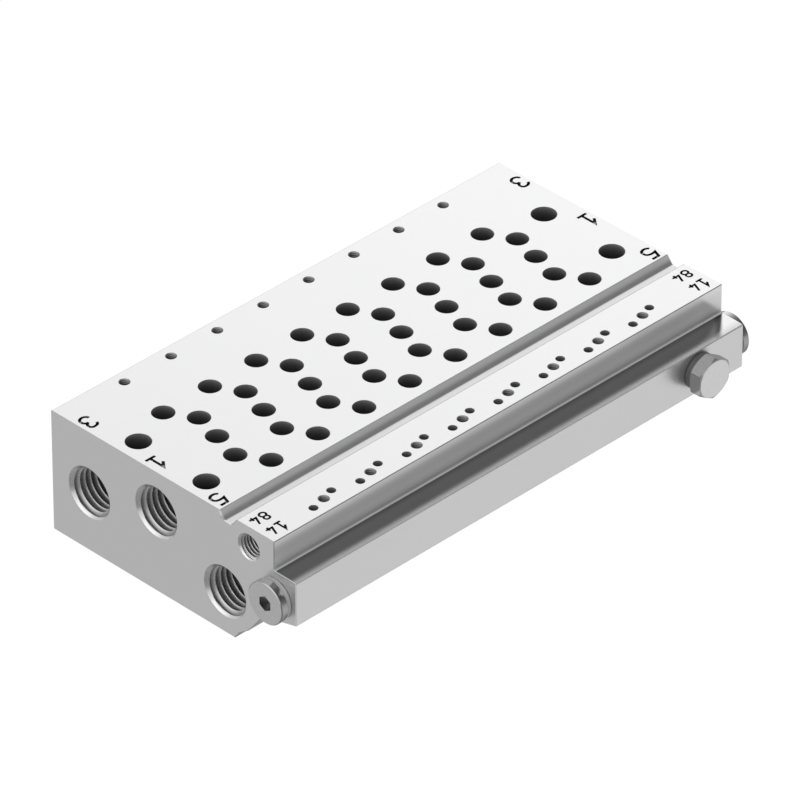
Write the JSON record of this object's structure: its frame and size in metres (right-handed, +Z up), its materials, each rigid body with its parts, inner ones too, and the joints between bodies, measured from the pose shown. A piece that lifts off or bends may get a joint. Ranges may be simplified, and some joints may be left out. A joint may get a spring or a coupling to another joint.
{
  "type": "valve manifold base",
  "caption": "Machined light-alloy manifold base that carries pneumatic valves side by side over common supply, exhaust and pilot channels, with screwed plugs.",
  "frame": {"origin": "centre of the four mounting holes, on the underside", "axes": "+X along the block towards the far end, where the hexagon head plug is; -Y towards the leg at the front; +Z up, out of the valve face"},
  "size_m": [0.1082, 0.0605, 0.0236],
  "materials": {
    "block": "fine milled, bright",
    "plug": "turned and plated, bright",
    "seal": "light grey sealing ring",
    "hex_seal": "dark sealing ring"
  },
  "bodies": {
    "root": {"manifold_block": "block", "near_end_plug": "plug", "near_plug_seal": "seal", "far_end_plug": "plug", "far_plug_seal": "seal", "hex_head_plug": "plug", "hex_plug_seal": "hex_seal"}
  },
  "joints": []
}
